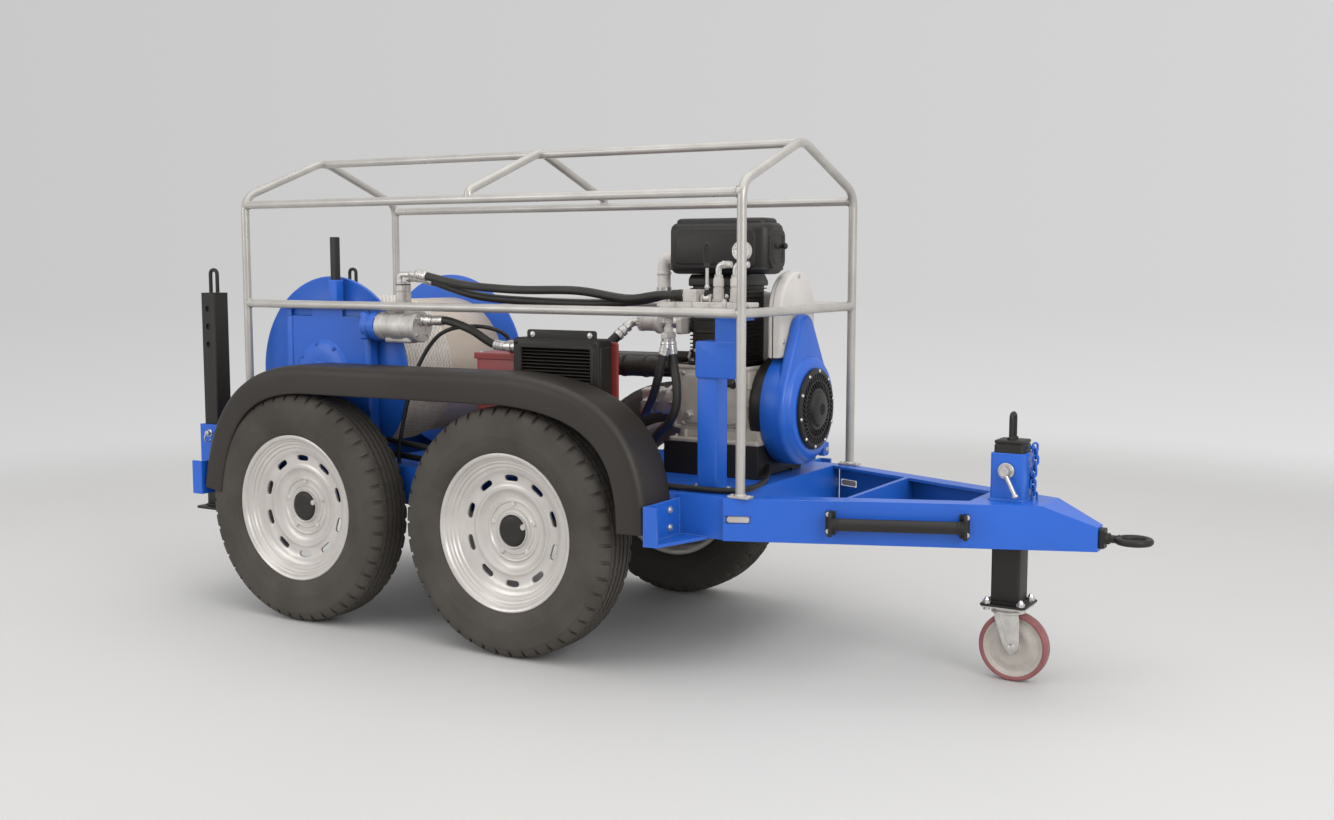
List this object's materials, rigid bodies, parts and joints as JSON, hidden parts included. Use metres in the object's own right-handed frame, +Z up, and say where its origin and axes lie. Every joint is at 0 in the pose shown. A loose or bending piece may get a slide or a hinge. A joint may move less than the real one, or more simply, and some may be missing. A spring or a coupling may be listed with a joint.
{
  "type": "trailer-mounted cable pulling winch",
  "caption": "Two-axle trailer carrying a hydraulic winch drum, air-cooled engine, oil tank, cooler, control valve and hoses under an open tubular canopy frame.",
  "frame": {"origin": "on the ground, under the middle of the machine's length and width", "axes": "+X towards the towing eye, +Y to the machine's left, +Z up"},
  "size_m": [2.9386, 1.06, 1.4078],
  "materials": {
    "blue_paint": "gloss blue paint",
    "black_paint": "satin black paint",
    "white_paint": "gloss off-white paint",
    "red_paint": "satin red paint",
    "tyre_rubber": "matte black tyre rubber",
    "hose_rubber": "matte black hose cover",
    "fender_steel": "matte dark grey paint",
    "wheel_silver": "silver lacquer",
    "cast_aluminium": "rough cast aluminium",
    "zinc_plate": "dull zinc plate",
    "rope_fibre": "grey laid synthetic rope",
    "red_polymer": "matte red-brown wheel polymer"
  },
  "bodies": {
    "chassis": {"main_frame": "blue_paint", "drawbar": "blue_paint", "jockey_sleeve": "blue_paint", "winch_pedestal_right": "blue_paint", "winch_pedestal_left": "blue_paint", "control_post": "blue_paint", "fan_housing": "blue_paint", "front_axle": "black_paint", "rear_axle": "black_paint", "grab_handle_right": "black_paint", "grab_handle_left": "black_paint", "towing_eye": "black_paint", "oil_cooler": "black_paint", "engine_skid": "black_paint", "cylinder_block": "black_paint", "fan_cover": "black_paint", "air_filter": "black_paint", "muffler": "black_paint", "rear_hoop": "white_paint", "front_hoop": "white_paint", "ridge_truss": "white_paint", "eave_rail_right": "white_paint", "eave_rail_left": "white_paint", "side_rail_right": "white_paint", "side_rail_left": "white_paint", "oil_tank": "red_paint", "supply_hose": "hose_rubber", "return_hose": "hose_rubber", "cooler_hose": "hose_rubber", "drain_hose": "hose_rubber", "pressure_hose": "hose_rubber", "relief_hose": "hose_rubber", "fender_right": "fender_steel", "fender_left": "fender_steel", "winch_motor": "cast_aluminium", "control_valve": "cast_aluminium", "crankcase": "cast_aluminium", "engine_cowl": "cast_aluminium", "oil_filter": "cast_aluminium", "hydraulic_pump": "cast_aluminium", "intake_pipe": "zinc_plate"},
    "wheel_front_right": {"tyre_front_right": "tyre_rubber", "rim_front_right": "wheel_silver"},
    "wheel_front_left": {"tyre_front_left": "tyre_rubber", "rim_front_left": "wheel_silver"},
    "wheel_rear_right": {"tyre_rear_right": "tyre_rubber", "rim_rear_right": "wheel_silver"},
    "wheel_rear_left": {"tyre_rear_left": "tyre_rubber", "rim_rear_left": "wheel_silver"},
    "drum": {"winch_drum": "blue_paint", "rope_winding": "rope_fibre"},
    "jockey_leg": {"jockey_column": "black_paint"},
    "clamp_screw": {"jockey_clamp": "zinc_plate"},
    "castor": {"castor_fork": "zinc_plate"},
    "castor_roller": {"castor_wheel": "red_polymer"},
    "stand_right": {"rear_stand_right": "black_paint"},
    "stand_left": {"rear_stand_left": "black_paint"},
    "lock_bar": {"drum_lock_bar": "black_paint"},
    "lever": {"control_lever": "black_paint"},
    "cooling_fan": {"flywheel_fan": "cast_aluminium"}
  },
  "joints": [
    {"name": "front_right_wheel_spin", "type": "hinge", "parent": "chassis", "child": "wheel_front_right", "pos_m": [-0.1183, -0.45, 0.343], "axis": [0, 1, 0], "continuous": true},
    {"name": "front_left_wheel_spin", "type": "hinge", "parent": "chassis", "child": "wheel_front_left", "pos_m": [-0.1183, 0.45, 0.343], "axis": [0, 1, 0], "continuous": true},
    {"name": "rear_right_wheel_spin", "type": "hinge", "parent": "chassis", "child": "wheel_rear_right", "pos_m": [-0.8923, -0.45, 0.343], "axis": [0, 1, 0], "continuous": true},
    {"name": "rear_left_wheel_spin", "type": "hinge", "parent": "chassis", "child": "wheel_rear_left", "pos_m": [-0.8923, 0.45, 0.343], "axis": [0, 1, 0], "continuous": true},
    {"name": "drum_spin", "type": "hinge", "parent": "chassis", "child": "drum", "pos_m": [-0.9323, 0, 0.73], "axis": [0, 1, 0], "continuous": true},
    {"name": "jockey_slide", "type": "slide", "parent": "chassis", "child": "jockey_leg", "axis": [0, 0, 1], "range_m": [0, 0.14]},
    {"name": "clamp_turn", "type": "hinge", "parent": "chassis", "child": "clamp_screw", "pos_m": [1.115, -0.06, 0.548], "axis": [0, 1, 0], "range_deg": [0, 180]},
    {"name": "castor_swivel", "type": "hinge", "parent": "jockey_leg", "child": "castor", "pos_m": [1.115, 0, 0.19], "axis": [0, 0, 1], "continuous": true},
    {"name": "castor_roll", "type": "hinge", "parent": "castor", "child": "castor_roller", "pos_m": [1.132, 0, 0.09], "axis": [0, 1, 0], "continuous": true},
    {"name": "right_stand_slide", "type": "slide", "parent": "chassis", "child": "stand_right", "axis": [0, 0, 1], "range_m": [-0.255, 0]},
    {"name": "left_stand_slide", "type": "slide", "parent": "chassis", "child": "stand_left", "axis": [0, 0, 1], "range_m": [-0.255, 0]},
    {"name": "lock_bar_lift", "type": "slide", "parent": "chassis", "child": "lock_bar", "axis": [0, 0, 1], "range_m": [0, 0.06]},
    {"name": "lever_tilt", "type": "hinge", "parent": "chassis", "child": "lever", "pos_m": [0.3777, -0.274, 0.9775], "axis": [1, 0, 0], "range_deg": [-20, 20], "stiffness_Nm_per_rad": 1.5},
    {"name": "fan_spin", "type": "hinge", "parent": "chassis", "child": "cooling_fan", "pos_m": [0.4347, 0.105, 0.66], "axis": [1, 0, 0], "continuous": true}
  ]
}
